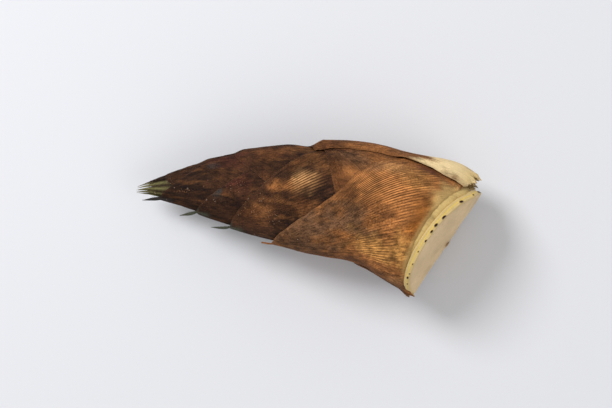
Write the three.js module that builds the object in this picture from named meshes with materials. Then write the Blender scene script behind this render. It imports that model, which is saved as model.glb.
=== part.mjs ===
// A harvested bamboo shoot lying on its side.
//
// The shoot is a bent horn. Its axis is followed by s, the distance from the cut end towards the
// tip. Across the axis each section is an ellipse, and theta goes round it: 0 is the -Y side,
// 90 degrees the top, 180 the +Y side and 270 the belly that lies on the ground. Sheaths are wrapped
// one over the next, so a third number, depth, says how far a point lies below the outermost skin.
// +X runs along the shoot towards its cut end, +Z is up. Everything is in millimetres.

import * as THREE from 'three';

const DEGREE = Math.PI / 180;

// the horn
const SKIN_LENGTH = 276; // from the cut to the point where the skin would close
const BASE_RADIUS = 51; // half-width of the stout end
const STOUT_LENGTH = 40; // the stretch at the cut end that keeps the full width
const TAPER = 2; // 1 would be a plain cone
const ROUNDNESS = 0.97; // height over width
const CUT_CENTRE = new THREE.Vector2(110.11, -21.39);
const BASE_HEADING = 29 * DEGREE; // how far the stout end points away from +X, towards -Y
const BEND = { turn: 24 * DEGREE, from: 15, over: 100 };
const TIP_BEND = { turn: 10 * DEGREE, from: 190, over: 60 };
const CUT_SKEW = { turn: 5 * DEGREE, over: 60 }; // the cut isn't square to the axis, seen from above
const CUT_SLOPE = { turn: 13 * DEGREE, over: 110 }; // nor seen from the side
const SINK = 1.2; // how much of the belly is pressed flat
const TIP_LIFT = { rise: 14, from: 115, over: 140 };

// the layers
const PITCH = { base: 2.1, tip: 0.8 }; // from one sheath's skin to the next one's
const THICKNESS = { base: 0.6, tip: 0.28 };
const THINNING = { from: 80, over: 170 };

// the slanting cut takes a bite out of the top of the base, and a shallower one out of the belly
const CUT = { level: -1.5, bite: 10.5, belly: 0.57, reach: 150 };

// the culm, the solid stem that every sheath grows from
const CULM = { ring: 3.3, columns: 26, faceRings: 3, shoulder: 150, narrow: 185, neck: 9, tip: 195 };
const STEP_GAP = 0.5; // between the stem's step and the sheath that starts on it

// the outermost sheath's base flares away from the stem on one side
const FLARE = { reach: 11, from: 60, over: 42, middle: 188, half: 40 };

// The far side is fuller along the middle of the horn, and the near side is flatter by the cut.
const SWELLING = { height: 4.3, from: 106, over: 32, to: 242, fade: 72, middle: 172, half: 62 };
const DENT = { depth: 3.6, at: 64, along: 48, middle: 12, half: 55 };

const FULL_WRAP = 178; // half the angle of a sheath that closes round the stem

// From the outermost in.
// base and tip: where the sheath starts and ends, as distances along the axis.
// side: theta of its middle. breadth: how fast it widens below its tip, in degrees per square root
// of a millimetre, and spread what is added further down, in degrees per millimetre.
// blade: the length of the small leaf blade on its tip, and rise how far that stands up, from 0
// along the narrowing shoot to 1 straight on.
// slope and bite: how much its lower edge slants across the shoot, and follows the bite of the cut.
// rows: the mesh's quads along it while it widens. columns: those across it, if not the usual.
const SHEATHS = [
  { base: 7.5, tip: 120, side: 187, breadth: 13.3, blade: 7, rise: 0, slope: 3, rows: 14 },
  {
    base: 6.2, tip: 142, side: 5, breadth: 13.2, blade: 8, rise: 0.6,
    slope: 5.2, bite: 13.5, spread: 0.8, rows: 14,
  },
  { base: 2.4, tip: 108, side: 187, breadth: 26, blade: 6, rise: 0, bite: 10.5, rows: 12 },
  { base: 12, tip: 176, side: 14, breadth: 18, blade: 15, rise: 1.3, bite: 10.5, rows: 17 },
  { base: 22, tip: 180, side: 183, breadth: 14, blade: 8, rise: 0, bite: 9, rows: 17 },
  { base: 34, tip: 204, side: 20, breadth: 17, blade: 15, rise: 1.6, bite: 6, rows: 18 },
  { base: 48, tip: 207, side: 178, breadth: 16, blade: 8, rise: 0, bite: 3, rows: 18 },
  { base: 66, tip: 236, side: 25, breadth: 22, blade: 15, rise: 0.9, columns: 24, rows: 20 },
  { base: 88, tip: 231, side: 150, breadth: 20, blade: 17, rise: 0.1, columns: 24, rows: 20 },
  { base: 114, tip: 238, side: 105, breadth: 12, blade: 17, rise: 0.3, columns: 18, rows: 14 },
  { base: 142, tip: 240, side: 60, breadth: 14, blade: 16, rise: 0.35, columns: 16, rows: 13 },
];
const COLUMNS = 22;
const SPREAD_FROM = 45; // below the tip, where a sheath's spread starts
const OUTER_MARGIN = 150; // theta that the outermost sheath's upper margin keeps to
const OUTER_HALF = 103; // half the angle it wraps
const BLADE_HALF = 2.2; // half a blade's width where it leaves the sheath
const BLADE_ROWS = 2;
const BLADE_END = 0.15; // the blade's width at its end, as a share of that at its foot
const WRAPPED_ROW = 20; // the rows' spacing where a sheath no longer widens

const clamp = THREE.MathUtils.clamp;

function ease(t) {
  return THREE.MathUtils.smoothstep(t, 0, 1);
}

function between(pair, s) {
  return THREE.MathUtils.lerp(pair.base, pair.tip, clamp((s - THINNING.from) / THINNING.over, 0, 1));
}

function heading(s) {
  const bend = BEND.turn * ease((s - BEND.from) / BEND.over);
  return BASE_HEADING - bend - TIP_BEND.turn * ease((s - TIP_BEND.from) / TIP_BEND.over);
}

function halfWidth(s) {
  const u = clamp((s - STOUT_LENGTH) / (SKIN_LENGTH - STOUT_LENGTH), 0, 1);
  return BASE_RADIUS * (1 - u ** TAPER);
}

// The axis seen from above, walked in short steps from behind the cut to past the tip.
const STEP = 1;
const FIRST = -10;
const axis = walkAxis();

function walkAxis() {
  const points = [new THREE.Vector2(0, 0)];
  for (let s = FIRST; s < SKIN_LENGTH + 20; s += STEP) {
    const middle = heading(s + STEP / 2);
    const step = new THREE.Vector2(-Math.cos(middle), Math.sin(middle)).multiplyScalar(STEP);
    points.push(points[points.length - 1].clone().add(step));
  }
  const shift = CUT_CENTRE.clone().sub(points[-FIRST / STEP]);
  return points.map((point) => point.add(shift));
}

function axisPoint(s) {
  const place = (s - FIRST) / STEP;
  const index = clamp(Math.floor(place), 0, axis.length - 2);
  return axis[index].clone().lerp(axis[index + 1], place - index);
}

// How far the skin stands out beyond the plain taper.
function fullness(s, theta) {
  const { height, from, over, to, fade } = SWELLING;
  const swelling = height * ease((s - from) / over) * ease((to - s) / fade);
  const dent = DENT.depth * ease(1 - Math.abs(s - DENT.at) / DENT.along);
  return swelling * wave(theta, SWELLING.middle, SWELLING.half) - dent * wave(theta, DENT.middle, DENT.half);
}

// The point at s, theta and depth. Layers that reach the ground are pressed flat, one on another.
function skin(s, theta, depth) {
  const turn = heading(s) + CUT_SKEW.turn * clamp(1 - s / CUT_SKEW.over, 0, 1) ** 2;
  const slope = CUT_SLOPE.turn * clamp(1 - s / CUT_SLOPE.over, 0, 1) ** 2;
  const across = new THREE.Vector3(-Math.sin(turn), -Math.cos(turn), 0);
  const ahead = new THREE.Vector3(-Math.cos(turn), Math.sin(turn), 0);
  const up = ahead.multiplyScalar(Math.sin(slope)).setZ(Math.cos(slope));
  const half = halfWidth(s);
  const lift = TIP_LIFT.rise * clamp((s - TIP_LIFT.from) / TIP_LIFT.over, 0, 1) ** 1.5;
  const middle = axisPoint(s);
  const point = new THREE.Vector3(middle.x, middle.y, half * ROUNDNESS * Math.cos(slope) - SINK + lift);
  const beyond = fullness(s, theta) - depth;
  point.addScaledVector(across, (half + beyond) * Math.cos(theta * DEGREE));
  point.addScaledVector(up, (half * ROUNDNESS + beyond) * Math.sin(theta * DEGREE));
  point.z = Math.max(point.z, depth);
  return point;
}

// How much of its full bite the slanting cut takes at theta.
function bite(theta) {
  const angle = THREE.MathUtils.euclideanModulo(theta, 360);
  if (angle > 180) {
    return -CUT.belly * Math.sin(angle * DEGREE);
  }
  return angle < CUT.reach ? Math.sin((angle / CUT.reach) * Math.PI) : 0;
}

function wave(theta, middle, half) {
  const away = THREE.MathUtils.euclideanModulo(theta - middle + 180, 360) - 180;
  return ease(1 - Math.abs(away) / half);
}

// Where a sheath's lower edge lies at theta.
function baseEdge({ base, bite: depth = 0, slope = 0 }, theta) {
  return base + depth * bite(theta) - slope * Math.cos(theta * DEGREE);
}

// How far below its tip a sheath has widened to half an angle, in degrees.
function reach({ breadth, spread = 0 }, half) {
  const plain = (half / breadth) ** 2;
  if (!spread || plain < SPREAD_FROM) {
    return plain;
  }
  const rest = half + spread * SPREAD_FROM;
  return ((Math.sqrt(breadth ** 2 + 4 * spread * rest) - breadth) / (2 * spread)) ** 2;
}

// Half the angle that a sheath has widened to below its tip, in degrees.
function widened({ breadth, spread = 0 }, below) {
  return breadth * Math.sqrt(below) + spread * Math.max(below - SPREAD_FROM, 0);
}

// A closed shell between an outer and an inner grid of points, both [row][column].
function shell(outer, inner) {
  const rows = outer.length;
  const columns = outer[0].length;
  const positions = [...outer, ...inner].flat().flatMap((point) => point.toArray());
  const at = (side, row, column) => (side * rows + row) * columns + column;
  const faces = [];
  const quad = (a, b, c, d) => faces.push(a, c, b, a, d, c);
  for (let row = 0; row < rows - 1; row++) {
    for (let column = 0; column < columns - 1; column++) {
      for (const side of [0, 1]) {
        const corners = [
          at(side, row, column),
          at(side, row, column + 1),
          at(side, row + 1, column + 1),
          at(side, row + 1, column),
        ];
        const turned = 2 * column < columns - 1 ? corners : [...corners.slice(1), corners[0]];
        quad(...(side ? turned.reverse() : turned));
      }
    }
    quad(at(0, row, 0), at(0, row + 1, 0), at(1, row + 1, 0), at(1, row, 0));
    const end = columns - 1;
    quad(at(0, row, end), at(1, row, end), at(1, row + 1, end), at(0, row + 1, end));
  }
  for (let column = 0; column < columns - 1; column++) {
    const last = rows - 1;
    quad(at(0, 0, column), at(1, 0, column), at(1, 0, column + 1), at(0, 0, column + 1));
    quad(at(0, last, column), at(0, last, column + 1), at(1, last, column + 1), at(1, last, column));
  }
  const geometry = new THREE.BufferGeometry();
  geometry.setAttribute('position', new THREE.Float32BufferAttribute(positions, 3));
  geometry.setIndex(faces);
  return geometry;
}

// The sheath's rows, tip of the blade first. Each has its distance beyond the sheath's tip if it
// lies on the blade, or its distance below it, and half the angle that the sheath wraps there.
function sheathRows(sheath, layer) {
  const rows = [];
  const radius = halfWidth(sheath.tip) - layer * between(PITCH, sheath.tip);
  const bladeHalf = BLADE_HALF / radius / DEGREE;
  for (let i = 0; i < BLADE_ROWS; i++) {
    const out = 1 - i / BLADE_ROWS;
    const half = bladeHalf * Math.max(1 - out ** 1.5, BLADE_END);
    rows.push({ beyond: out * sheath.blade, below: 0, half });
  }
  const length = sheath.tip - sheath.base;
  const widest = Math.min(layer ? FULL_WRAP : OUTER_HALF, widened(sheath, length));
  for (let i = 0; i <= sheath.rows; i++) {
    const half = bladeHalf + (widest - bladeHalf) * (i / sheath.rows);
    rows.push({ beyond: 0, below: reach(sheath, half), half });
  }
  const grown = rows[rows.length - 1].below;
  const count = Math.ceil((length - grown) / WRAPPED_ROW);
  for (let i = 1; i <= count; i++) {
    rows.push({ beyond: 0, below: grown + ((length - grown) * i) / count, half: widest });
  }
  return rows;
}

function makeSheath(sheath, layer) {
  const { columns = COLUMNS } = sheath;
  const length = sheath.tip - sheath.base;
  const outer = [];
  const inner = [];
  for (const { beyond, below, half } of sheathRows(sheath, layer)) {
    const middle = layer ? sheath.side : Math.max(sheath.side, OUTER_MARGIN + half);
    const outerRow = [];
    const innerRow = [];
    for (let column = 0; column <= columns; column++) {
      const theta = middle + half * ((2 * column) / columns - 1);
      const lower = (baseEdge(sheath, theta) - sheath.base) * (below / length) ** 3;
      const s = sheath.tip + beyond - below + lower;
      const rise = beyond ? sheath.rise * (halfWidth(sheath.tip) - halfWidth(s)) : 0;
      const flare = layer ? 0 : FLARE.reach * ease((FLARE.from - s) / FLARE.over);
      const depth = layer * between(PITCH, s) - rise - flare * wave(theta, FLARE.middle, FLARE.half);
      outerRow.push(skin(s, theta, depth));
      innerRow.push(skin(s, theta, depth + between(THICKNESS, s)));
    }
    outer.push(outerRow);
    inner.push(innerRow);
  }
  return shell(outer, inner);
}

// A closed solid through rings of points, closed by a point at each end.
function ringSolid(first, rings, last) {
  const columns = rings[0].length;
  const points = [first, ...rings.flat(), last];
  const end = points.length - 1;
  const at = (ring, column) => 1 + ring * columns + (column % columns);
  const faces = [];
  for (let column = 0; column < columns; column++) {
    faces.push(0, at(0, column + 1), at(0, column));
    for (let ring = 0; ring < rings.length - 1; ring++) {
      faces.push(at(ring, column), at(ring, column + 1), at(ring + 1, column + 1));
      faces.push(at(ring, column), at(ring + 1, column + 1), at(ring + 1, column));
    }
    faces.push(end, at(rings.length - 1, column), at(rings.length - 1, column + 1));
  }
  const geometry = new THREE.BufferGeometry();
  geometry.setAttribute('position', new THREE.Float32BufferAttribute(points.flatMap((p) => p.toArray()), 3));
  geometry.setIndex(faces);
  return geometry;
}

function ring(columns, placeAt) {
  return Array.from({ length: columns }, (_, column) => {
    const theta = (360 * column) / columns;
    const { s, depth } = placeAt(theta);
    return skin(s, theta, depth);
  });
}

// The stem: the cut face, the bare ring beside it, a step inwards at each sheath, and a point.
function makeCulm() {
  const rings = [];
  const addRing = (placeAt) => rings.push(ring(CULM.columns, placeAt));
  for (let i = 1; i <= CULM.faceRings; i++) {
    const out = i / CULM.faceRings;
    addRing((theta) => {
      const s = CUT.level + out * CUT.bite * bite(theta);
      return { s, depth: BASE_RADIUS - out * (BASE_RADIUS - CULM.ring) };
    });
  }
  let depth = CULM.ring;
  SHEATHS.slice(2).forEach((sheath, index) => {
    const under = (index + 3) * between(PITCH, sheath.base);
    const before = depth;
    addRing((theta) => ({ s: baseEdge(sheath, theta) - 2 * STEP_GAP, depth: before }));
    addRing((theta) => ({ s: baseEdge(sheath, theta) - STEP_GAP, depth: under }));
    depth = under;
  });
  addRing(() => ({ s: CULM.shoulder, depth: depth }));
  addRing(() => ({ s: CULM.narrow, depth: halfWidth(CULM.narrow) - CULM.neck }));
  const cutMiddle = skin(CUT.level, 0, BASE_RADIUS);
  const tip = skin(CULM.tip, 0, halfWidth(CULM.tip));
  return ringSolid(cutMiddle, rings, tip);
}

const BROWN = 0x8a5f3c; // the three outermost sheaths
const DARK = 0x4b3325;
const GREEN = 0x6f6c42; // the three innermost
const STEM_COLOUR = 0xc0af8a;

function matt(color) {
  return new THREE.MeshStandardMaterial({ color, roughness: 0.8, metalness: 0 });
}

const shoot = new THREE.Group();
SHEATHS.forEach((sheath, layer) => {
  const colour = layer < 3 ? BROWN : layer < SHEATHS.length - 3 ? DARK : GREEN;
  const mesh = new THREE.Mesh(makeSheath(sheath, layer), matt(colour));
  mesh.name = `sheath_${layer + 1}`;
  shoot.add(mesh);
});

const culm = new THREE.Mesh(makeCulm(), matt(STEM_COLOUR));
culm.name = 'culm';
shoot.add(culm);

export default shoot;
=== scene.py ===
"""A freshly dug bamboo shoot lying on its side, for Blender 4.5.

Like the CAD frame, it is worked out in the shoot's own coordinates: s is the distance in
millimetres from the cut end along the bent axis, theta goes round it in degrees (0 the -Y side,
90 the top, 180 the +Y side, 270 the belly) and depth is how far below the outermost skin a point
lies. Meshes are turned into metres when they are made.
"""

import itertools
import math

import bpy
import numpy as np
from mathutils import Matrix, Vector


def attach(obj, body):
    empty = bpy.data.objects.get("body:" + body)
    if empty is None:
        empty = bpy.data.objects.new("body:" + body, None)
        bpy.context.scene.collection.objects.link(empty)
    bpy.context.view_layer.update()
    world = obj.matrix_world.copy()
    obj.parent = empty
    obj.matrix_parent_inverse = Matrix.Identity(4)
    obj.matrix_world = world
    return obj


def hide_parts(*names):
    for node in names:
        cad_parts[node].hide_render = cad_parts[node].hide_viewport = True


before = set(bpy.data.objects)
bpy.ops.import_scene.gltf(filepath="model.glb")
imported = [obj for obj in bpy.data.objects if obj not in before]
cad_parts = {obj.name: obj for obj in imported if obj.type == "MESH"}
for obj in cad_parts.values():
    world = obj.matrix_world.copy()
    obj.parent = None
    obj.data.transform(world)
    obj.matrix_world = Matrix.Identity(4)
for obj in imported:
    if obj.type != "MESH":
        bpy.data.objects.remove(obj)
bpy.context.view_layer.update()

MM = 0.001

# ---------------------------------------------------------------- the horn, as in the CAD frame

SKIN_LENGTH = 276.0
BASE_RADIUS = 51.0
STOUT_LENGTH = 40.0
TAPER = 2.0
ROUNDNESS = 0.97
CUT_CENTRE = (110.11, -21.39)
BASE_HEADING = 29.0
BEND = (24.0, 15.0, 100.0)
TIP_BEND = (10.0, 190.0, 60.0)
CUT_SKEW = (5.0, 60.0)
CUT_SLOPE = (13.0, 110.0)
SINK = 1.2
TIP_LIFT = (14.0, 115.0, 140.0)
PITCH = (2.1, 0.8)
THICKNESS = (0.6, 0.28)
THINNING = (80.0, 170.0)
CUT_LEVEL = -1.5
CUT_BITE = 10.5
BELLY_BITE = 0.57
FLARE = dict(reach=11.0, start=60.0, over=42.0, middle=188.0, half=40.0)
# The far side is fuller along the middle of the horn, and the near side is flatter by the cut.
SWELLING = dict(height=4.3, start=106.0, over=32.0, end=242.0, fade=72.0, middle=172.0, half=62.0)
DENT = dict(depth=3.6, at=64.0, along=48.0, middle=12.0, half=55.0)
RING_DEPTH = 3.3
FULL_WRAP = 178.0
SPREAD_FROM = 45.0
BLADE_HALF = 2.6
# The outermost sheath's upper margin lies at this theta, 4 degrees further down the far side than in
# the CAD frame. The sheath wraps at most OUTER_HALF to each side of its middle, as it does there.
OUTER_MARGIN = 154.0
OUTER_HALF = 103.0


def ease(t):
    """0 up to 0 and 1 from 1 on, with a smooth rise between."""
    t = np.clip(t, 0, 1)
    return t * t * (3 - 2 * t)


def thinning(pair, s):
    """The first of a pair near the cut, going over to the second towards the tip."""
    return pair[0] + (pair[1] - pair[0]) * np.clip((s - THINNING[0]) / THINNING[1], 0, 1)


def heading(s):
    """The direction of the axis at s, in radians."""
    bend = BEND[0] * ease((s - BEND[1]) / BEND[2])
    return np.radians(BASE_HEADING - bend - TIP_BEND[0] * ease((s - TIP_BEND[1]) / TIP_BEND[2]))


def half_width(s):
    """The horn's plain radius at s, in millimetres."""
    u = np.clip((s - STOUT_LENGTH) / (SKIN_LENGTH - STOUT_LENGTH), 0, 1)
    return BASE_RADIUS * (1 - u**TAPER)


def walk_axis():
    """The axis seen from above: distances, x and y."""
    s = np.arange(-10.0, SKIN_LENGTH + 20)
    middle = heading(s[:-1] + 0.5)
    x = np.concatenate([[0], np.cumsum(-np.cos(middle))])
    y = np.concatenate([[0], np.cumsum(np.sin(middle))])
    return s, x - np.interp(0, s, x) + CUT_CENTRE[0], y - np.interp(0, s, y) + CUT_CENTRE[1]


AXIS = walk_axis()


def away(theta, middle):
    """Degrees from middle to theta, the short way round."""
    return (theta - middle + 180) % 360 - 180


def wave(theta, form):
    """1 at a form's middle, easing to 0 at its half angle."""
    return ease(1 - np.abs(away(theta, form["middle"])) / form["half"])


def fullness(s, theta):
    """How far the skin stands out beyond the plain taper: fuller far side, flatter near side."""
    swelling = SWELLING["height"] * ease((s - SWELLING["start"]) / SWELLING["over"])
    swelling = swelling * ease((SWELLING["end"] - s) / SWELLING["fade"])
    dent = DENT["depth"] * ease(1 - np.abs(s - DENT["at"]) / DENT["along"])
    return swelling * wave(theta, SWELLING) - dent * wave(theta, DENT)


def skin(s, theta, depth):
    """The points, in millimetres, at s, theta and depth."""
    s, theta, depth = np.broadcast_arrays(s, theta, depth)
    turn = heading(s) + math.radians(CUT_SKEW[0]) * np.clip(1 - s / CUT_SKEW[1], 0, 1) ** 2
    slope = math.radians(CUT_SLOPE[0]) * np.clip(1 - s / CUT_SLOPE[1], 0, 1) ** 2
    half = half_width(s)
    lift = TIP_LIFT[0] * np.clip((s - TIP_LIFT[1]) / TIP_LIFT[2], 0, 1) ** 1.5
    beyond = fullness(s, theta) - depth
    across = (half + beyond) * np.cos(np.radians(theta))
    up = (half * ROUNDNESS + beyond) * np.sin(np.radians(theta))
    x = np.interp(s, AXIS[0], AXIS[1]) - across * np.sin(turn) - up * np.sin(slope) * np.cos(turn)
    y = np.interp(s, AXIS[0], AXIS[2]) - across * np.cos(turn) + up * np.sin(slope) * np.sin(turn)
    z = half * ROUNDNESS * np.cos(slope) - SINK + lift + up * np.cos(slope)
    return np.stack([x, y, np.maximum(z, depth)], -1)


def bite(theta):
    """How much of its full bite the slanting cut takes at theta."""
    angle = theta % 360
    top = np.where(angle < 150, np.sin(np.radians(1.2 * angle)), 0)
    return np.where(angle > 180, -BELLY_BITE * np.sin(np.radians(angle)), top)


# ---------------------------------------------------------------- noise

LATTICE = np.random.default_rng(11).random((32, 32, 32))


def noise(points, size):
    """Smooth value noise from -1 to 1, with features about size apart."""
    place = np.asarray(points, float) / size
    cell = np.floor(place).astype(int)
    part = place - cell
    part = part * part * (3 - 2 * part)
    total = 0
    for corner in itertools.product((0, 1), repeat=3):
        weight = np.prod(np.where(corner, part, 1 - part), axis=-1)
        x, y, z = np.moveaxis((cell + corner) % 32, -1, 0)
        total = total + weight * LATTICE[x, y, z]
    return 2 * total - 1


def rough_noise(points, size, octaves=3):
    """Noise with finer and weaker noise added to it."""
    return sum(noise(points + 7.3 * i, size / 2**i) / 2**i for i in range(octaves))


# ---------------------------------------------------------------- the sheaths

# On a sheath, w goes from -1 at one margin to 1 at the other. Below and beyond are distances in
# millimetres from its tip: below, down towards its foot, and beyond, out along its blade.

# What a sheath has unless its row says otherwise.
PLAIN = dict(rise=0, slope=0, bite=0, spread=0, wrap=FULL_WRAP, fan=0, teeth=0)

# From the outermost in, with the CAD frame's numbers. Only here, ribs is how many veins run down a
# sheath, wrap is half the angle that it may wrap, and fan is half the angle of a blade split into teeth.
SHEATHS = [
    PLAIN | dict(base=7.5, tip=120, side=187, breadth=13.3, blade=7, slope=3, wrap=OUTER_HALF, ribs=110),
    PLAIN | dict(
        base=6.2, tip=142, side=5, breadth=13.2, blade=8, rise=0.6, slope=5.2, bite=13.5, spread=0.8,
        wrap=230, ribs=110,
    ),
    PLAIN | dict(base=2.4, tip=108, side=187, breadth=26, blade=6, bite=10.5, ribs=160),
    PLAIN | dict(base=12, tip=176, side=14, breadth=18, blade=15, rise=1.3, bite=10.5, ribs=84),
    PLAIN | dict(base=22, tip=180, side=183, breadth=14, blade=8, bite=9, ribs=130),
    PLAIN | dict(base=34, tip=204, side=20, breadth=17, blade=15, rise=1.6, bite=6, ribs=120),
    PLAIN | dict(base=48, tip=207, side=178, breadth=16, blade=8, bite=3, ribs=100),
    PLAIN | dict(base=66, tip=236, side=25, breadth=22, blade=15, rise=0.9, ribs=90),
    PLAIN | dict(base=88, tip=231, side=150, breadth=20, blade=17, rise=0.1, ribs=80),
    PLAIN | dict(base=114, tip=238, side=105, breadth=12, blade=17, rise=0.3, ribs=60, fan=70, teeth=4),
    PLAIN | dict(base=142, tip=240, side=60, breadth=14, blade=16, rise=0.35, ribs=50, fan=60, teeth=3),
]
RIB_COLUMNS = 4  # columns of vertices to each rib
INNER_STEP = 8  # the hidden inner face has every eighth column
BODY_ROWS = 90
BLADE_ROWS = 14
BLADE_KEEL = 1.1
RIB_HEIGHT = 0.32
HUG = 0.97  # the share of the gap under it that a margin sinks
FOOT = 6.0  # the length of the foot that sinks on to the husk below
BLUR = 7  # rows and columns over which the gap under a sheath is evened out
CORNER_LIFT = dict(height=2.5, start=14.0, over=12.0, middle=356.0, half=16.0)
CORNER_TEAR = dict(middle=356.0, half=14.0)
RAGGED = dict(depth=3.0, middle=185.0, half=25.0)  # the outermost sheath's torn foot
LAP = 0.45  # one margin of a sheath that wraps right round lies this much under the other


def half_below(layer, below):
    """Half the angle that a sheath wraps, below its tip."""
    sheath = SHEATHS[layer]
    half = sheath["breadth"] * np.sqrt(below)
    return np.minimum(half + sheath["spread"] * np.maximum(below - SPREAD_FROM, 0), sheath["wrap"])


def middle_of(layer, half):
    """Theta of a sheath's middle. The outermost keeps its upper margin at one place instead."""
    side = SHEATHS[layer]["side"]
    return side if layer else np.maximum(side, OUTER_MARGIN + half)


def half_angle(layer, s):
    """Half the angle that a sheath wraps at s, and theta of its middle. Beyond its tip it wraps none."""
    half = half_below(layer, np.maximum(SHEATHS[layer]["tip"] - s, 0))
    return half, middle_of(layer, half)


def base_edge(layer, theta):
    """The s of a sheath's foot."""
    sheath = SHEATHS[layer]
    return sheath["base"] + sheath["bite"] * bite(theta) - sheath["slope"] * np.cos(np.radians(theta))


def present(layer, s, theta, spare=0.0):
    """True where a sheath is, but for spare degrees along its margins."""
    half, middle = half_angle(layer, s)
    across = (np.abs(away(theta, middle)) < half - spare) & (s < SHEATHS[layer]["tip"])
    return across & (s > base_edge(layer, theta))


def covered(layer, s, theta, spare=0.0):
    """True where a sheath further out lies over this one."""
    hidden = np.zeros(np.shape(s), bool)
    for outer in range(layer):
        hidden |= present(outer, s, theta, spare)
    return hidden


def gap_below(layer, s, theta):
    """The height, in millimetres, of the gap between a sheath and the next one that lies under it."""
    under = np.full(s.shape, layer + 1)
    for inner in reversed(range(layer + 1, len(SHEATHS))):
        under = np.where(present(inner, s, theta), inner, under)
    gap = (under - layer) * thinning(PITCH, s) - thinning(THICKNESS, s)
    for axis in (0, 1):
        first = np.repeat(gap.take([0], axis), BLUR // 2, axis)
        last = np.repeat(gap.take([-1], axis), BLUR // 2, axis)
        padded = np.concatenate([first, gap, last], axis)
        gap = np.apply_along_axis(np.convolve, axis, padded, np.ones(BLUR) / BLUR, "valid")
    return gap


def sheath_rows(layer):
    """Per row, tip of the blade first: distance beyond the tip, distance below it, half angle."""
    sheath = SHEATHS[layer]
    radius = half_width(sheath["tip"]) - layer * thinning(PITCH, sheath["tip"])
    blade_half = sheath["fan"] or math.degrees(BLADE_HALF / radius)
    out = np.linspace(1, 0, BLADE_ROWS, endpoint=False)
    blade = blade_half * np.maximum(1 - out**2, 0.7 if sheath["fan"] else 0.05)
    length = sheath["tip"] - sheath["base"]
    first = (blade_half / sheath["breadth"]) ** 1.25 / length**0.62
    below = length * np.linspace(first, 1, BODY_ROWS) ** 1.6
    half = np.maximum(half_below(layer, below), blade_half)
    return (
        np.concatenate([out * sheath["blade"], np.zeros(BODY_ROWS)]),
        np.concatenate([np.zeros(BLADE_ROWS), below]),
        np.concatenate([blade, half]),
    )


def torn(layer, theta):
    """How far the foot of a sheath is torn back. Only the outermost's far end is ragged."""
    place = np.stack([theta / 2.2, 0 * theta + layer, 0 * theta], -1)
    ragged = noise(place, 1.0) + 0.6 * noise(place * 2.3, 1.0)
    corner = wave(theta, CORNER_TEAR)
    if layer:
        return 0.35 * ragged - 4.5 * corner * (layer == 1)
    near = ease(1.6 - np.abs(away(theta, RAGGED["middle"])) / RAGGED["half"])
    return RAGGED["depth"] * near * (ragged - 0.9) - 4 * corner


def flared(layer, s, theta):
    """How far the foot of a sheath stands off the horn, in millimetres."""
    flare = 0 * s
    if layer == 0:
        flare = FLARE["reach"] * ease((FLARE["start"] - s) / FLARE["over"]) * wave(theta, FLARE)
    if layer < 2:
        near = ease((CORNER_LIFT["start"] - s) / CORNER_LIFT["over"])
        flare = flare + CORNER_LIFT["height"] * wave(theta, CORNER_LIFT) * near
    return flare


def sunk(layer, w, below):
    """How far a sheath sinks into the gap under it, from 0 to 1: its margins, plain tip and foot."""
    sheath = SHEATHS[layer]
    sink = np.abs(w) ** (10 if layer else 5) * ease(below / 6)
    if not sheath["rise"]:
        sink = np.maximum(sink, ease(1 - below / (10 if layer else 13)))
    length = sheath["tip"] - sheath["base"]
    return np.maximum(sink, ease((below - length + FOOT) / FOOT))


def split(layer, w, beyond):
    """The distance beyond the tip, shortened between the teeth of a split blade."""
    teeth = SHEATHS[layer]["teeth"]
    if not teeth:
        return beyond
    tooth = 1 - np.abs(2 * ((w + 1) / 2 * teeth % 1) - 1)
    return beyond * (0.12 + 0.88 * tooth**0.7)


def sheath_grid(layer):
    """The sheath's skin as arrays [row, column]: s, theta, depth, w, below and beyond."""
    sheath = SHEATHS[layer]
    across = np.linspace(-1, 1, sheath["ribs"] * RIB_COLUMNS + 1)
    beyond, below, half, w = np.broadcast_arrays(*(row[:, None] for row in sheath_rows(layer)), across)
    beyond = split(layer, w, beyond)
    ragged = noise(np.stack([below / 5, w * 3, 0 * w + layer * 5.1], -1), 1.0)
    theta = middle_of(layer, half) + half * w * (1 - 0.012 * (1 + ragged) * np.abs(w) ** 6)
    length = sheath["tip"] - sheath["base"]
    edge = base_edge(layer, theta) - sheath["base"] + torn(layer, theta)
    s = sheath["tip"] + beyond - below + edge * (below / length) ** 3
    drop = half_width(sheath["tip"]) - half_width(s)
    along_blade = np.clip(beyond / sheath["blade"], 0, 1)
    keel = BLADE_KEEL * (1 - np.abs(w)) * np.sin(math.pi * along_blade**0.6)
    rise = np.where(beyond > 0, sheath["rise"] * (drop + keel), 0)
    lap = LAP * w * (sheath["wrap"] > FULL_WRAP)
    sink = HUG * gap_below(layer, s, theta) * sunk(layer, w, below)
    depth = layer * thinning(PITCH, s) - rise - flared(layer, s, theta) + lap + sink
    return s, theta, depth, w, below, beyond


def ridges(w, ribs):
    """0 in the grooves to 1 on the ribs."""
    return 0.5 + 0.5 * np.cos(2 * math.pi * w * ribs / 2)


def relief(layer, s, theta, w, below, rubbed):
    """How far the real skin stands above the plain one, in millimetres."""
    place = np.stack([s, theta * 0.8, 0 * s], -1)
    dents = 0.5 * noise(place, 34) + 0.25 * noise(place, 13)
    lumps = 0.07 * rough_noise(place + layer * 9.7, 2.6, 2)
    ribs = RIB_HEIGHT * ridges(w, SHEATHS[layer]["ribs"]) * (0.35 + 0.65 * rubbed) * ease(below / 8)
    ribs = ribs * ease((s - base_edge(layer, theta)) / 8 - 0.4)
    return dents + lumps + ribs


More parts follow.
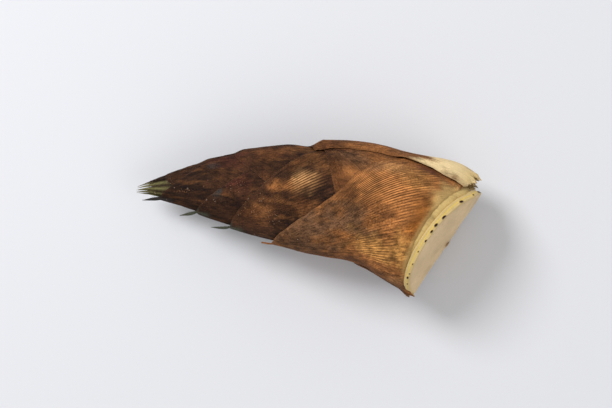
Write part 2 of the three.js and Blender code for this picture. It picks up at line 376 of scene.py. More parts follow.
def close_shell(outer, inner, step):
    """Vertices and faces of a shell between an outer grid and an inner one with fewer columns."""
    rows, columns = outer.shape[:2]
    few = inner.shape[1]
    points = np.concatenate([outer.reshape(-1, 3), inner.reshape(-1, 3)])
    out = np.arange(rows * columns).reshape(rows, columns)
    into = rows * columns + np.arange(rows * few).reshape(rows, few)

    def quads(a, b, c, d):
        return np.stack([a, b, c, d], -1).reshape(-1, 4).tolist()

    faces = quads(out[:-1, :-1], out[1:, :-1], out[1:, 1:], out[:-1, 1:])
    faces += quads(into[:-1, :-1], into[:-1, 1:], into[1:, 1:], into[1:, :-1])
    faces += quads(out[:-1, 0], into[:-1, 0], into[1:, 0], out[1:, 0])
    faces += quads(out[:-1, -1], out[1:, -1], into[1:, -1], into[:-1, -1])
    for i in range(few - 1):
        span = slice(i * step, i * step + step + 1)
        faces.append([*out[0, span].tolist(), int(into[0, i + 1]), int(into[0, i])])
        faces.append([*out[-1, span][::-1].tolist(), int(into[-1, i]), int(into[-1, i + 1])])
    return points, faces


# ---------------------------------------------------------------- painting the sheaths

COLOURS = dict(
    night=(0.020, 0.009, 0.005),
    dark=(0.046, 0.018, 0.008),
    umber=(0.105, 0.039, 0.013),
    brown=(0.190, 0.076, 0.024),
    tan=(0.285, 0.110, 0.032),
    orange=(0.285, 0.098, 0.018),
    gold=(0.540, 0.260, 0.070),
    sand=(0.420, 0.215, 0.084),
    velvet=(0.145, 0.070, 0.033),
    purple=(0.070, 0.018, 0.012),
    slate=(0.034, 0.030, 0.028),
    straw=(0.600, 0.430, 0.170),
    cream=(0.740, 0.570, 0.310),
    moss=(0.130, 0.128, 0.034),
    sage=(0.140, 0.128, 0.052),
    teal=(0.066, 0.070, 0.048),
    flesh=(0.660, 0.490, 0.285),
    stain=(0.420, 0.300, 0.170),
    rind=(0.600, 0.440, 0.200),
    ring=(0.600, 0.440, 0.190),
    thread=(0.720, 0.500, 0.090),
    bud=(0.022, 0.006, 0.010),
)

# For each sheath, its ground colour and the patches on it: s, theta, reach along, reach round in
# degrees, colour and strength.
GROUND = ["brown", "tan", "umber", "dark", "dark", "dark", "dark", "dark", "dark", "dark", "dark"]
PATCHES = {
    0: [
        (104, 155, 12, 20, "umber", 0.5), (60, 210, 60, 50, "umber", 0.6),
        (70, 160, 20, 14, "tan", 0.4), (17, 173, 28, 44, "cream", 1.0),
        (0, 190, 30, 60, "straw", 0.6), (70, 270, 50, 60, "umber", 0.5),
        (16, 340, 40, 30, "brown", 1.0), (114, 170, 20, 50, "umber", 1.0),
        (120, 178, 10, 40, "dark", 1.0), (30, 168, 15, 28, "cream", 0.9),
    ],
    1: [
        (122, 36, 34, 60, "velvet", 0.9), (106, 62, 30, 30, "velvet", 1.0),
        (82, 76, 20, 18, "velvet", 0.95), (68, 65, 26, 8, "velvet", 0.9),
        (55, 90, 16, 6, "umber", 0.9), (82, 111, 4, 5, "dark", 0.9), (48, 52, 32, 17, "gold", 0.75),
        (28, 64, 16, 20, "gold", 0.75), (60, 112, 30, 22, "tan", 0.9),
        (24, 86, 12, 14, "orange", 0.9), (22, 106, 14, 20, "orange", 0.8),
        (38, 150, 10, 7, "purple", 0.9), (42, 134, 20, 14, "gold", 0.35),
        (60, 14, 60, 16, "umber", 0.6), (14, 20, 16, 14, "sand", 0.5),
        (58, 137, 20, 12, "sand", 0.5), (15, 130, 14, 24, "straw", 0.6),
        (90, 100, 12, 9, "umber", 0.8), (8, 4, 8, 18, "brown", 0.9),
        (74, 132, 10, 10, "velvet", 0.7),
    ],
    2: [
        (8, 90, 24, 160, "straw", 1.0), (72, 141, 22, 12, "tan", 0.95), (88, 122, 5, 7, "tan", 0.7),
        (100, 150, 16, 24, "umber", 0.9), (106, 145, 6, 20, "dark", 0.7),
        (86, 140, 14, 12, "velvet", 0.8),
    ],
    3: [
        (124, 134, 18, 14, "umber", 0.9), (140, 99, 10, 10, "tan", 0.85),
        (127, 104, 11, 10, "tan", 0.9), (119, 110, 12, 17, "sand", 0.85),
        (116, 142, 14, 12, "brown", 0.8), (128, 80, 16, 14, "umber", 0.6),
        (151, 71, 9, 15, "brown", 0.6), (160, 62, 8, 12, "umber", 0.8),
        # The night patch at s 128, theta 50 is a painted shadow along the margin of layer 1's sheath,
        # which lies over it.
        (118, 80, 10, 10, "umber", 0.8), (128, 50, 14, 24, "night", 0.8),
    ],
    4: [
        (120, 158, 18, 16, "brown", 0.8), (160, 100, 18, 20, "umber", 0.6),
        (178, 148, 12, 14, "purple", 0.6), (150, 150, 14, 14, "umber", 0.9),
    ],
    5: [
        (194, 60, 16, 60, "night", 0.4), (188, 88, 6, 13, "slate", 1.0),
        (172, 110, 14, 26, "purple", 0.6),
    ],
    6: [
        (206, 120, 14, 60, "night", 0.6), (191, 88, 8, 14, "slate", 0.9),
        (193, 141, 8, 10, "slate", 0.7), (180, 150, 20, 20, "purple", 0.5),
    ],
    7: [(216, 90, 26, 90, "night", 1.0)],
    8: [(226, 170, 10, 60, "night", 0.8)],
    9: [(234, 110, 8, 90, "umber", 0.6)],
}
# Where the hairs are rubbed off and the ribs show, with painted highlights on them, written like a patch
# without its colour.
RUBBED = [
    (64, 114, 42, 24, 1.0), (116, 106, 16, 16, 1.0), (90, 120, 6, 8, 1.0), (46, 50, 38, 22, 0.5),
    (28, 110, 20, 50, 0.8),
]
# Painted highlight added to the ribs where the hairs are rubbed off.
RIB_PAINTED_HIGHLIGHT = (0.12, 0.056, 0.020)
GREEN_BLADES = (3, 5, 7)
BLADE_COLOURS = ["night", "tan", "umber", "teal", "dark", "teal", "dark", "slate", "night", "sage", "moss"]


def patch(s, theta, where, wobble):
    """1 in the middle of a patch, easing to 0 at its wobbling edge."""
    s0, theta0, along, around = where[:4]
    distance = ((s - s0) / along) ** 2 + (away(theta, theta0) / around) ** 2
    return ease(1.25 - np.sqrt(distance) + 0.45 * wobble)


def rubbed_ribs(s, theta):
    """0 where the hairs stand to 1 where they are rubbed off and the ribs carry painted highlights."""
    wobble = rough_noise(np.stack([s, theta, 0 * s + 40], -1), 12)
    return np.maximum.reduce([spot[4] * patch(s, theta, spot, wobble) for spot in RUBBED])


def mix(colour, other, amount):
    """A colour with some of a named one in it."""
    amount = np.asarray(amount)[..., None]
    return colour * (1 - amount) + np.array(COLOURS[other]) * amount


def patched(layer, s, theta, wobble):
    """A sheath's ground colour with its patches, and how pale each place is."""
    colour = mix(np.zeros((*s.shape, 3)), GROUND[layer], np.ones(s.shape))
    pale = 0 * s
    for where in PATCHES.get(layer, ()):
        strength = where[5] * patch(s, theta, where, wobble)
        colour = mix(colour, where[4], strength)
        pale = np.maximum(pale, strength * (where[4] in ("cream", "straw")))
    foot = ease(1 - (s - base_edge(layer, theta)) / 5) * (layer == 1) * ease((theta - 20) / 30)
    return mix(colour, "straw", 0.5 * foot), np.maximum(pale, foot)


def mottled(layer, colour, place, plain, rubbed):
    """The colour with clouds, dark tufts and rusty fibres."""
    clouds = 0.38 * rough_noise(place + 50, 20, 2) + 0.30 * rough_noise(place + 90, 4.5, 3)
    tufts = rough_noise(place * [0.4, 1, 1] + 20, 1.6, 2)
    shade = (1 + clouds * plain) * (1 - 0.5 * ease((tufts + 0.1) / 0.9) * plain)
    rust = ease((rough_noise(place * [0.5, 1, 1] + 70, 5, 3) - 0.1) / 0.9) * plain * (1 - 0.6 * rubbed)
    colour = colour * np.clip(shade, 0.25, 2)[..., None]
    return mix(colour, "brown", (0.5 if layer < 4 else 0.3) * rust)


def ribbed(layer, colour, s, theta, w, plain, rubbed):
    """The colour with streaks along the ribs, a painted highlight on each rib and painted shade in each
    groove, strongest where the hairs are rubbed off.
    """
    ribs = SHEATHS[layer]["ribs"]
    streak = noise(np.stack([np.round(w * ribs / 2) * 1.7, s / 14, 0 * s + layer], -1), 1.0)
    colour = colour * (1 + 0.25 * streak * plain)[..., None]
    # Painted light: a lighter copy of the colour on the ribs as painted highlight, a darker one in the
    # grooves as painted shade.
    painted_lit_rib = colour * 1.95 + np.array(RIB_PAINTED_HIGHLIGHT) * rubbed[..., None]
    painted_groove_shade = colour * 0.04
    by_rib = painted_groove_shade + (painted_lit_rib - painted_groove_shade) * ridges(w, ribs)[..., None]
    past_foot = ease((s - base_edge(layer, theta) - 6) / 20)
    contrast = ((0.16 + 0.84 * rubbed) * plain * past_foot)[..., None]
    return colour * (1 - contrast) + by_rib * contrast


def tipped(layer, colour, w, below, beyond, wobble):
    """The colour with the sheath's margins and its blade."""
    sheath = SHEATHS[layer]
    margin = ease((np.abs(w) - 0.97) / 0.025) * ease(below / 4) * (0.5 + 0.5 * wobble)
    colour = mix(colour, "brown" if layer < 3 else "umber", np.clip(0.3 * margin, 0, 1))
    stripe = ease((14 - below) / 8) * ease(1 - np.abs(w) / 0.4) * (layer in GREEN_BLADES)
    stripe = np.maximum(stripe, ease((9 - below) / 6) * (sheath["teeth"] > 0))
    colour = mix(colour, BLADE_COLOURS[layer], np.maximum(stripe, ease((beyond + 3 - below) / 4)))
    if sheath["teeth"]:
        # Painted shade in the furrows between the teeth of a split blade.
        painted_furrow_shade = np.abs(np.cos(math.pi * (w + 1) / 2 * sheath["teeth"])) ** 1.5
        colour = mix(colour, "night", 0.92 * painted_furrow_shade * ease(1.4 - beyond / sheath["blade"]))
    return colour


def husk_colour(layer, s, theta, w, below, beyond, rubbed):
    """Each vertex's painted colour, and how pale it is. Alpha is how much the material mottles it."""
    place = np.stack([s, theta * 0.8, 0 * s + layer * 3.7], -1)
    wobble = rough_noise(place, 9)
    colour, pale = patched(layer, s, theta, wobble)
    plain = 1 - 0.85 * pale
    colour = mottled(layer, colour, place, plain, rubbed)
    colour = ribbed(layer, colour, s, theta, w, plain, rubbed)
    colour = tipped(layer, colour, w, below, beyond, wobble)
    calm = plain * (1 - 0.7 * rubbed)
    return np.concatenate([np.clip(colour, 0.004, 0.95), calm[..., None]], -1), pale


# ---------------------------------------------------------------- materials

def nodes_of(name):
    """A new material with its nodes, its links and its shader."""
    material = bpy.data.materials.new(name)
    material.use_nodes = True
    nodes = material.node_tree.nodes
    return material, nodes, material.node_tree.links, nodes["Principled BSDF"]


def add(nodes, kind, **values):
    """A new node, with values for its inputs or its settings."""
    node = nodes.new(kind)
    for key, value in values.items():
        if key in node.inputs:
            node.inputs[key].default_value = value
        else:
            setattr(node, key, value)
    return node


def mapped(nodes, links, value, low, high, start=0.0, end=1.0):
    """The value, mapped from start and end to low and high."""
    node = add(nodes, "ShaderNodeMapRange")
    for key, number in zip(("From Min", "From Max", "To Min", "To Max"), (start, end, low, high)):
        node.inputs[key].default_value = number
    links.new(value, node.inputs["Value"])
    return node.outputs["Result"]


def shaded(nodes, links, factor):
    """The painted colour, made lighter or darker by a factor."""
    paint = add(nodes, "ShaderNodeAttribute", attribute_name="paint")
    scaled = add(nodes, "ShaderNodeVectorMath", operation="SCALE")
    links.new(paint.outputs["Color"], scaled.inputs[0])
    links.new(factor, scaled.inputs["Scale"])
    return scaled.outputs["Vector"]


def roughened(nodes, links, shader, height, strength, distance):
    """Small bumps on a shader, from a height."""
    bump = add(nodes, "ShaderNodeBump", Strength=strength, Distance=distance)
    links.new(height, bump.inputs["Height"])
    links.new(bump.outputs["Normal"], shader.inputs["Normal"])


def husk_material():
    """Painted colour, broken up by fibres along the sheath and by a fine velvet."""
    material, nodes, links, shader = nodes_of("husk")
    grain = add(nodes, "ShaderNodeAttribute", attribute_name="grain")
    fibre = add(nodes, "ShaderNodeTexNoise", Scale=1.0, Detail=3.0, Roughness=0.6)
    links.new(grain.outputs["Vector"], fibre.inputs["Vector"])
    place = add(nodes, "ShaderNodeTexCoord")
    velvet = add(nodes, "ShaderNodeTexNoise", Scale=800.0, Detail=2.0, Roughness=0.7)
    links.new(place.outputs["Object"], velvet.inputs["Vector"])
    both = add(nodes, "ShaderNodeMath", operation="ADD")
    links.new(fibre.outputs["Fac"], both.inputs[0])
    links.new(velvet.outputs["Fac"], both.inputs[1])
    paint = add(nodes, "ShaderNodeAttribute", attribute_name="paint")
    less = add(nodes, "ShaderNodeMath", operation="MULTIPLY")
    links.new(mapped(nodes, links, both.outputs[0], -0.85, 0.9, 0.65, 1.35), less.inputs[0])
    links.new(paint.outputs["Alpha"], less.inputs[1])
    factor = add(nodes, "ShaderNodeMath", operation="ADD")
    links.new(less.outputs[0], factor.inputs[0])
    factor.inputs[1].default_value = 1.0
    links.new(shaded(nodes, links, factor.outputs[0]), shader.inputs["Base Color"])
    roughened(nodes, links, shader, both.outputs[0], 0.5, 0.00025)
    links.new(mapped(nodes, links, fibre.outputs["Fac"], 0.7, 0.95), shader.inputs["Roughness"])
    shader.inputs["Specular IOR Level"].default_value = 0.12
    return material


def flesh_material():
    """Painted colour with fine wet streaks."""
    material, nodes, links, shader = nodes_of("flesh")
    grain = add(nodes, "ShaderNodeAttribute", attribute_name="grain")
    streaks = add(nodes, "ShaderNodeTexNoise", Scale=1.0, Detail=4.0, Roughness=0.65)
    links.new(grain.outputs["Vector"], streaks.inputs["Vector"])
    shade = mapped(nodes, links, streaks.outputs["Fac"], 0.86, 1.1, 0.3, 0.7)
    links.new(shaded(nodes, links, shade), shader.inputs["Base Color"])
    roughened(nodes, links, shader, streaks.outputs["Fac"], 0.4, 0.0003)
    shader.inputs["Roughness"].default_value = 0.55
    shader.inputs["Specular IOR Level"].default_value = 0.15
    return material


def bristle_material(name, colour):
    """One plain colour, with a shine that changes from hair to hair."""
    material, nodes, links, shader = nodes_of(name)
    place = add(nodes, "ShaderNodeTexCoord")
    patchy = add(nodes, "ShaderNodeTexNoise", Scale=300.0, Detail=1.0)
    links.new(place.outputs["Object"], patchy.inputs["Vector"])
    links.new(mapped(nodes, links, patchy.outputs["Fac"], 0.35, 0.7), shader.inputs["Roughness"])
    shader.inputs["Base Color"].default_value = (*colour, 1)
    return material


# ---------------------------------------------------------------- making objects

def make_object(name, points, faces, smooth=True):
    """A mesh object from points in millimetres."""
    mesh = bpy.data.meshes.new(name)
    mesh.from_pydata((np.asarray(points) * MM).tolist(), [], faces)
    mesh.polygons.foreach_set("use_smooth", np.full(len(mesh.polygons), smooth))
    mesh.update()
    piece = bpy.data.objects.new(name, mesh)
    bpy.context.scene.collection.objects.link(piece)
    return piece


def paint_object(piece, colour, grain):
    """Gives a piece its painted colours and the places from which its material takes its grain."""
    paint = piece.data.attributes.new("paint", "FLOAT_COLOR", "POINT")
    paint.data.foreach_set("color", colour.ravel())
    fibres = piece.data.attributes.new("grain", "FLOAT_VECTOR", "POINT")
    fibres.data.foreach_set("vector", grain.ravel())


def place_piece(piece, node, replaces=True):
    """Ties a piece to the shoot, and hides its CAD node when it replaces it."""
    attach(piece, "root")
    if replaces:
        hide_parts(node)


def make_sheath(layer, material):
    """One husk. Returns what its hairs need to know about it."""
    s, theta, depth, w, below, beyond = sheath_grid(layer)
    rubbed = rubbed_ribs(s, theta) * (layer < 4)
    outer = skin(s, theta, depth - relief(layer, s, theta, w, below, rubbed))
    few = slice(None, None, INNER_STEP)
    thickness = thinning(THICKNESS, s) * (1 - 0.7 * np.abs(w) ** 8)
    inner_depth = depth - relief(layer, s, theta, w, below, 0 * rubbed) * 0.6 + thickness
    inner = skin(s[:, few], theta[:, few], inner_depth[:, few])
    points, faces = close_shell(outer, inner, INNER_STEP)
    node = f"sheath_{layer + 1}"
    piece = make_object(f"{node}_husk", points, faces)
    colour, pale = husk_colour(layer, s, theta, w, below, beyond, rubbed)
    bare = (ease((below - 4) / 10) * ease((1 - np.abs(w)) / 0.1))[:, few, None]
    inside = colour[:, few] * (1 - bare) + np.array([*COLOURS["cream"], 0.3]) * bare
    grain = np.stack([w * SHEATHS[layer]["ribs"] * 1.3, s * 0.16, 0 * s + layer * 11.3], -1)
    paint_object(
        piece,
        np.concatenate([colour.reshape(-1, 4), inside.reshape(-1, 4)]),
        np.concatenate([grain.reshape(-1, 3), grain[:, few].reshape(-1, 3)]),
    )
    piece.data.materials.append(material)
    place_piece(piece, node)
    return dict(
        layer=layer, s=s, theta=theta, w=w, outer=outer, pale=pale, rubbed=rubbed,
        hidden=covered(layer, s, theta, 1.0),
    )


# ---------------------------------------------------------------- the culm

# The root buds beside the cut: theta and size in millimetres.
BUDS = [
    (27, 0.9), (37, 1.4), (43, 0.8), (55, 0.7), (69, 0.7), (81, 1.1), (91, 1.3), (98, 1.6), (108, 1.9),
    (132, 1.7), (151, 1.0), (168, 2.1), (177, 1.9), (196, 1.2), (214, 1.6), (229, 1.0), (247, 1.5),
    (262, 1.2), (280, 1.7), (297, 1.1), (313, 1.4), (330, 1.0), (346, 1.3),
]
CULM_COLUMNS = 720
FACE_ROWS = 70
RING_ROWS = 40
RING_WIDTH = 14.0


def ring_solid(grid, first, last):
    """Vertices and faces of a solid of rings, closed by a point at each end."""
    rows, columns = grid.shape[:2]
    points = np.concatenate([[first], grid.reshape(-1, 3), [last]])
    at = 1 + np.arange(rows * columns).reshape(rows, columns)
    following = np.roll(at, -1, axis=1)
    faces = np.stack([following[:-1], following[1:], at[1:], at[:-1]], -1).reshape(-1, 4).tolist()
    end = len(points) - 1
    faces += [[0, int(b), int(a)] for a, b in zip(at[0], following[0])]
    faces += [[end, int(a), int(b)] for a, b in zip(at[-1], following[-1])]
    return points, faces


def bud_height(s, theta, rim):
    """The root buds that stand in the ring beside the cut."""
    total = 0 * s
    for number, (middle, size) in enumerate(BUDS):
        along = (s - rim - 1.4 - 0.6 * math.sin(number * 2.1)) / size
        across = np.radians(away(theta, middle)) * BASE_RADIUS / (size * 1.5)
        total = np.maximum(total, ease(1.35 - np.sqrt(along**2 + across**2)))
    return total


def face_grid(theta, rim):
    """The cut face: s, depth, the place on a flat disc, and how far out it is from 0 to 1."""
    out = np.linspace(0, 1, FACE_ROWS + 1)[1:, None]
    s = CUT_LEVEL + (rim - CUT_LEVEL) * out
    depth = BASE_RADIUS - out * (BASE_RADIUS - RING_DEPTH) + 0 * theta
    across = np.cos(np.radians(theta)) * out * BASE_RADIUS
    up = np.sin(np.radians(theta)) * out * BASE_RADIUS
    flat = np.stack([across, up, 0 * across], -1)
    scored = noise(flat * [0.25, 1.6, 1], 2.2) * 0.12 + noise(flat, 12) * 0.5 + noise(flat, 3) * 0.08
    return s + scored * ease((1 - out) / 0.06 + 0.2), depth, flat, out


def ring_grid(theta, rim):
    """The band beside the cut: s, depth, distance from the cut, and how high its root buds stand."""
    along = np.linspace(0, 1, RING_ROWS)[:, None] ** 1.2 * RING_WIDTH
    s = rim + 0.4 + along
    buds = bud_height(s, theta, rim)
    bulge = 0.35 * noise(np.stack([s, theta * 0.8 + 0 * s, 0 * s], -1), 4)
    shoulder = 1.8 * ease((along - 5.0) / 1.5)
    return s, RING_DEPTH + shoulder - 0.9 * buds - bulge * ease(along / 2), along, buds


def make_culm(material):
    """The solid stem: the cut face, the ring of buds beside it, and a plain back inside the husks."""
    theta = np.linspace(0, 360, CULM_COLUMNS, endpoint=False)[None, :]
    rim = CUT_LEVEL + CUT_BITE * bite(theta)
    face_s, face_depth, flat, out = face_grid(theta, rim)
    ring_s, ring_depth, along, buds = ring_grid(theta, rim)
    s = np.concatenate([face_s, ring_s])
    grid = skin(s, theta + 0 * s, np.concatenate([face_depth, ring_depth]))
    back = skin(s[-1:] + 0.5, theta, 0 * theta + BASE_RADIUS * 0.5)
    ends = skin(CUT_LEVEL, 0, BASE_RADIUS), skin(s[-1].mean(), 0, BASE_RADIUS)
    points, faces = ring_solid(np.concatenate([grid, back]), *ends)
    piece = make_object("culm_flesh", points, faces)
    colour = culm_colour(flat, out, along, buds)
    grain_face = flat * [0.35, 1.5, 1]
    grain_ring = np.stack([ring_s * 0.6, theta * 1.2 + 0 * ring_s, 0 * ring_s], -1)
    grain = np.concatenate([grain_face.reshape(-1, 3), grain_ring.reshape(-1, 3)])
    tail = len(points) - 1 - len(grain)
    paint_object(
        piece,
        np.concatenate([colour[:1], colour, np.tile(colour[-1], (tail, 1))]),
        np.concatenate([grain[:1], grain, np.tile(grain[-1], (tail, 1))]),
    )
    piece.data.materials.append(material)
    place_piece(piece, "culm")


def culm_colour(flat, out, along, buds):
    """The painted colour of the face's vertices, then of the ring's."""
    face = np.array(COLOURS["flesh"]) * (1 + 0.10 * rough_noise(flat, 14))[..., None]
    face = mix(face, "stain", 0.35 * ease(rough_noise(flat + 30, 20) * 1.4 - 0.1))
    bundles = ease((noise(flat * [1, 1, 0] + 60, 1.1) - 0.5) / 0.3) * ease((out - 0.3) / 0.5)
    face = mix(face * (1 - 0.16 * bundles[..., None]), "rind", ease((out - 0.95) / 0.04))
    ring = mix(np.zeros((*buds.shape, 3)), "ring", np.ones(buds.shape))
    ring = mix(ring, "thread", ease(1 - np.abs(along - 2.6) / 0.9))
    ring = mix(ring, "bud", ease(buds * 1.6 - 0.5))
    colour = np.concatenate([face.reshape(-1, 3), ring.reshape(-1, 3)])
    return np.concatenate([colour, np.ones((len(colour), 1))], 1)


# ---------------------------------------------------------------- bristles

HAIR_THICKNESS = 0.07
HAIR_CORNERS = (0, 2.094, 4.189)  # angles, in radians, round a hair's root
HAIR_FACES = [(0, 1, 3), (1, 2, 3), (2, 0, 3), (2, 1, 0)]
FRINGE_FROM = 0.985  # the fringe grows where w is this near to a margin
LOWEST = 0.02  # no hair and no crumb goes lower, so that none cuts the floor


def pick_places(husk, weight, count, rng):
    """Random places on a husk: point, unit vectors ahead, sideways and out, and w."""
    chosen = rng.choice(weight.size, count, p=(weight / weight.sum()).ravel())
    row, column = np.unravel_index(chosen, weight.shape)
    outer = husk["outer"]
    ahead = outer[row - 1, column] - outer[row, column]
    side = outer[row, column + 1] - outer[row, column]
    point = outer[row, column] + ahead * rng.random((count, 1)) + side * rng.random((count, 1))
    out = np.cross(ahead, side)
    unit = [v / (np.linalg.norm(v, axis=1)[:, None] + 1e-9) for v in (ahead, side, out)]
    return point, *unit, husk["w"][row, column]


def bare_area(husk):
    """The area round each vertex of a husk's grid that can be seen and has hairs."""
    outer = husk["outer"]
    area = np.zeros(outer.shape[:2])
    along = outer[1:-1, 1:-1] - outer[:-2, 1:-1]
    across = outer[1:-1, 2:] - outer[1:-1, 1:-1]
    area[1:-1, 1:-1] = np.linalg.norm(np.cross(along, across), axis=-1)
    return area * ~husk["hidden"] * (husk["pale"] < 0.25)


def make_hairs(name, husk, point, direction, out, sizes, materials, pale_share, rng):
    """Three-sided hairs, thick at the root."""
    count = len(point)
    direction = direction / np.linalg.norm(direction, axis=1)[:, None]
    u = np.cross(direction, out)
    u /= np.linalg.norm(u, axis=1)[:, None] + 1e-9
    v = np.cross(direction, u)
    thick = HAIR_THICKNESS * (0.7 + 0.6 * rng.random((count, 1)))
    corners = [point + thick * (math.cos(a) * u + math.sin(a) * v) for a in HAIR_CORNERS]
    points = np.stack([*corners, point + direction * sizes[:, None]], 1)
    points[..., 2] = np.maximum(points[..., 2], LOWEST)
    faces = 4 * np.arange(count)[:, None, None] + np.array(HAIR_FACES)
    piece = make_object(name, points.reshape(-1, 3), faces.reshape(-1, 3).tolist())
    for material in materials:
        piece.data.materials.append(material)
    pale = (rng.random(count) < pale_share).astype(np.int32)
    piece.data.polygons.foreach_set("material_index", np.repeat(pale, len(HAIR_FACES)))
    place_piece(piece, f"sheath_{husk['layer'] + 1}", replaces=False)


def grow_bristles(husk, count, length, margin_count, materials, pale_share):
    """Short stiff hairs that lean towards the tip, and a fringe along the margins."""
    rng = np.random.default_rng(100 + husk["layer"])
    weight = bare_area(husk) * (1 - 0.85 * husk["rubbed"])
    point, ahead, side, out, _ = pick_places(husk, weight, count, rng)
    lean = rng.uniform(0.2, 0.7, (count, 1))
    swing = rng.normal(0, 0.35, (count, 1))
    direction = ahead + out * lean + side * swing
    sizes = length * rng.uniform(0.5, 1.3, count)
    name = f"sheath_{husk['layer'] + 1}_bristles"
    make_hairs(name, husk, point, direction, out, sizes, materials, pale_share, rng)
    fringe = bare_area(husk) * (np.abs(husk["w"]) > FRINGE_FROM)
    point, ahead, side, out, w = pick_places(husk, fringe, margin_count, rng)
    outward = side * np.sign(w)[:, None]
    direction = ahead + outward * rng.uniform(0.3, 1.0, (margin_count, 1)) + 0.2 * out
    sizes = 1.3 * length * rng.uniform(0.4, 1.2, margin_count)
    name = f"sheath_{husk['layer'] + 1}_fringe"
    make_hairs(name, husk, point, direction, out, sizes, materials, pale_share, rng)


CRUMB = [(1, 0, 0), (-1, 0, 0), (0, 1, 0), (0, -1, 0), (0, 0, 1), (0, 0, -1)]
CRUMB_FACES = [(0, 2, 4), (2, 1, 4), (1, 3, 4), (3, 0, 4), (2, 0, 5), (1, 2, 5), (3, 1, 5), (0, 3, 5)]
CRUMB_SIZES = (0.15, 0.55)
STRAY = 0.01  # the weight of places far from every spot
HORN_RADIUS = 42  # turns degrees round the horn into millimetres


def scatter_crumbs(husk, spots, count, materials, pale_share):
    """Crumbs of soil, mostly round the given spots: s, theta and radius in millimetres."""
    rng = np.random.default_rng(300 + husk["layer"])
    weight = bare_area(husk)
    near = 0 * weight + STRAY
    for s0, theta0, radius in spots:
        across = np.radians(away(husk["theta"], theta0)) * HORN_RADIUS
        near = near + np.exp(-((husk["s"] - s0) ** 2 + across**2) / radius**2)
    point, _, _, out, _ = pick_places(husk, weight * near, count, rng)
    size = rng.uniform(*CRUMB_SIZES, (count, 1, 1))
    shape = np.array(CRUMB) * rng.uniform(0.6, 1.2, (count, 6, 1)) * size
    points = (point + 0.2 * out)[:, None] + shape + rng.normal(0, 0.12, (count, 6, 3)) * size
    points[..., 2] = np.maximum(points[..., 2], LOWEST)
    faces = 6 * np.arange(count)[:, None, None] + np.array(CRUMB_FACES)
    name = f"sheath_{husk['layer'] + 1}_crumbs"
    piece = make_object(name, points.reshape(-1, 3), faces.reshape(-1, 3).tolist(), smooth=False)
    for material in materials:
        piece.data.materials.append(material)
    pale = (rng.random(count) < pale_share).astype(np.int32)
    piece.data.polygons.foreach_set("material_index", np.repeat(pale, len(CRUMB_FACES)))
    place_piece(piece, f"sheath_{husk['layer'] + 1}", replaces=False)


# ---------------------------------------------------------------- studio

FLOOR = 3.0
FLOOR_COLOUR = (0.69, 0.70, 0.735)
LIT_POINT = (0, 0, 0.04)
# For each light: its place, its size and its power.
LIGHTS = {
    "window": ((-1.3, 1.2, 1.9), 1.0, 50),
    "fill": ((1.4, -0.9, 1.6), 1.8, 9),
}
SKY_COLOUR = (1.0, 0.99, 0.98)
SKY_STRENGTH = 0.55
CAMERA_PLACE = (-0.0004, 0.0096, 1.1)
CAMERA_LENS = 78.3
SENSOR = 36


def make_floor():
    """A plain pale floor, much wider than the shoot."""
    mesh = bpy.data.meshes.new("floor")
    corners = [(-FLOOR, -FLOOR, 0), (FLOOR, -FLOOR, 0), (FLOOR, FLOOR, 0), (-FLOOR, FLOOR, 0)]
    mesh.from_pydata(corners, [], [(0, 1, 2, 3)])
    floor = bpy.data.objects.new("floor", mesh)
    bpy.context.scene.collection.objects.link(floor)
    material, _, _, shader = nodes_of("pale_floor")
    shader.inputs["Base Color"].default_value = (*FLOOR_COLOUR, 1)
    shader.inputs["Roughness"].default_value = 0.9
    mesh.materials.append(material)


def make_light(name, place, size, power):
    """A round, soft light that looks at the shoot's middle."""
    data = bpy.data.lights.new(name, "AREA")
    data.shape = "DISK"
    data.size = size
    data.energy = power
    light = bpy.data.objects.new(name, data)
    light.location = place
    light.rotation_euler = (Vector(LIT_POINT) - Vector(place)).to_track_quat("-Z", "Y").to_euler()
    bpy.context.scene.collection.objects.link(light)


def make_studio():
    """The floor, a window light, a weaker fill and an even sky."""
    make_floor()
    for name, (place, size, power) in LIGHTS.items():
        make_light(name, place, size, power)
    world = bpy.data.worlds.new("studio")
    world.use_nodes = True
    background = world.node_tree.nodes["Background"]
    background.inputs["Color"].default_value = (*SKY_COLOUR, 1)
    background.inputs["Strength"].default_value = SKY_STRENGTH
    bpy.context.scene.world = world
    bpy.context.scene.view_settings.view_transform = "Standard"


def make_camera():
    """A camera straight above that looks down on the shoot."""
    data = bpy.data.cameras.new("camera")
    data.lens = CAMERA_LENS
    data.sensor_width = SENSOR
    camera = bpy.data.objects.new("camera", data)
    camera.location = CAMERA_PLACE
    bpy.context.scene.collection.objects.link(camera)
    bpy.context.scene.camera = camera


# ---------------------------------------------------------------- putting it together

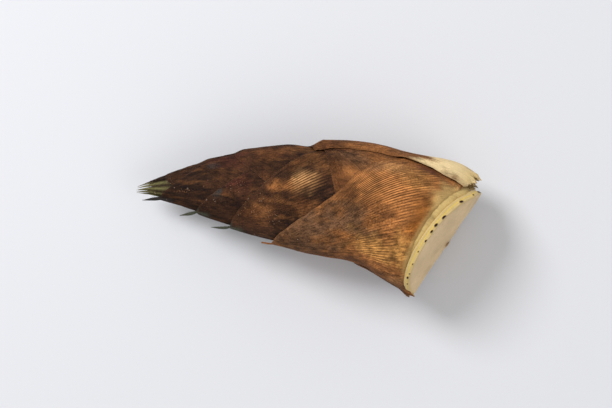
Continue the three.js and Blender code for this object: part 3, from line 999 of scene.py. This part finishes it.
make_camera()
make_studio()
husk_paint = husk_material()
husks = [make_sheath(layer, husk_paint) for layer in range(len(SHEATHS))]
make_culm(flesh_material())

dark_hair = bristle_material("dark_bristle", (0.022, 0.010, 0.006))
brown_hair = bristle_material("brown_bristle", (0.13, 0.05, 0.018))
gold_hair = bristle_material("gold_bristle", (0.34, 0.16, 0.055))
pale_hair = bristle_material("pale_bristle", (0.50, 0.40, 0.27))
soil = bristle_material("soil", (0.26, 0.10, 0.035))
grit = bristle_material("grit", (0.55, 0.38, 0.28))

# For each sheath: hairs, their length in millimetres, hairs on its margins, their two colours and the
# share of the second.
COATS = [
    (3500, 1.3, 900, (brown_hair, gold_hair), 0.3),
    (11000, 1.1, 1200, (brown_hair, gold_hair), 0.35),
    (2500, 1.1, 400, (brown_hair, gold_hair), 0.3),
    (9000, 1.4, 900, (dark_hair, gold_hair), 0.3),
    (5000, 1.5, 600, (dark_hair, brown_hair), 0.4),
    (5000, 1.6, 700, (dark_hair, brown_hair), 0.35),
    (3000, 1.6, 500, (dark_hair, brown_hair), 0.3),
    (3500, 1.6, 500, (dark_hair, brown_hair), 0.3),
    (1500, 1.4, 400, (dark_hair, pale_hair), 0.15),
    (200, 1.0, 150, (brown_hair, pale_hair), 0.5),
    (200, 1.0, 150, (brown_hair, pale_hair), 0.5),
]
for husk, (count, length, margin_count, pair, share) in zip(husks, COATS):
    grow_bristles(husk, count, length, margin_count, pair, share)

# For some sheaths: crumbs of soil, and the spots they stick to: s, theta and radius in millimetres.
DIRT = {
    1: (90, [(99, 59, 3), (82, 111, 3), (60, 70, 12), (120, 40, 8)]),
    3: (260, [(165, 85, 4), (153, 81, 4), (140, 61, 6), (160, 66, 6), (148, 63, 5), (167, 132, 3)]),
    5: (90, [(195, 65, 3), (194, 52, 2), (172, 100, 8)]),
    7: (90, [(215, 80, 6)]),
}
GRIT_SHARE = 0.2
for layer, (count, spots) in DIRT.items():
    scatter_crumbs(husks[layer], spots, count, (soil, grit), GRIT_SHARE)
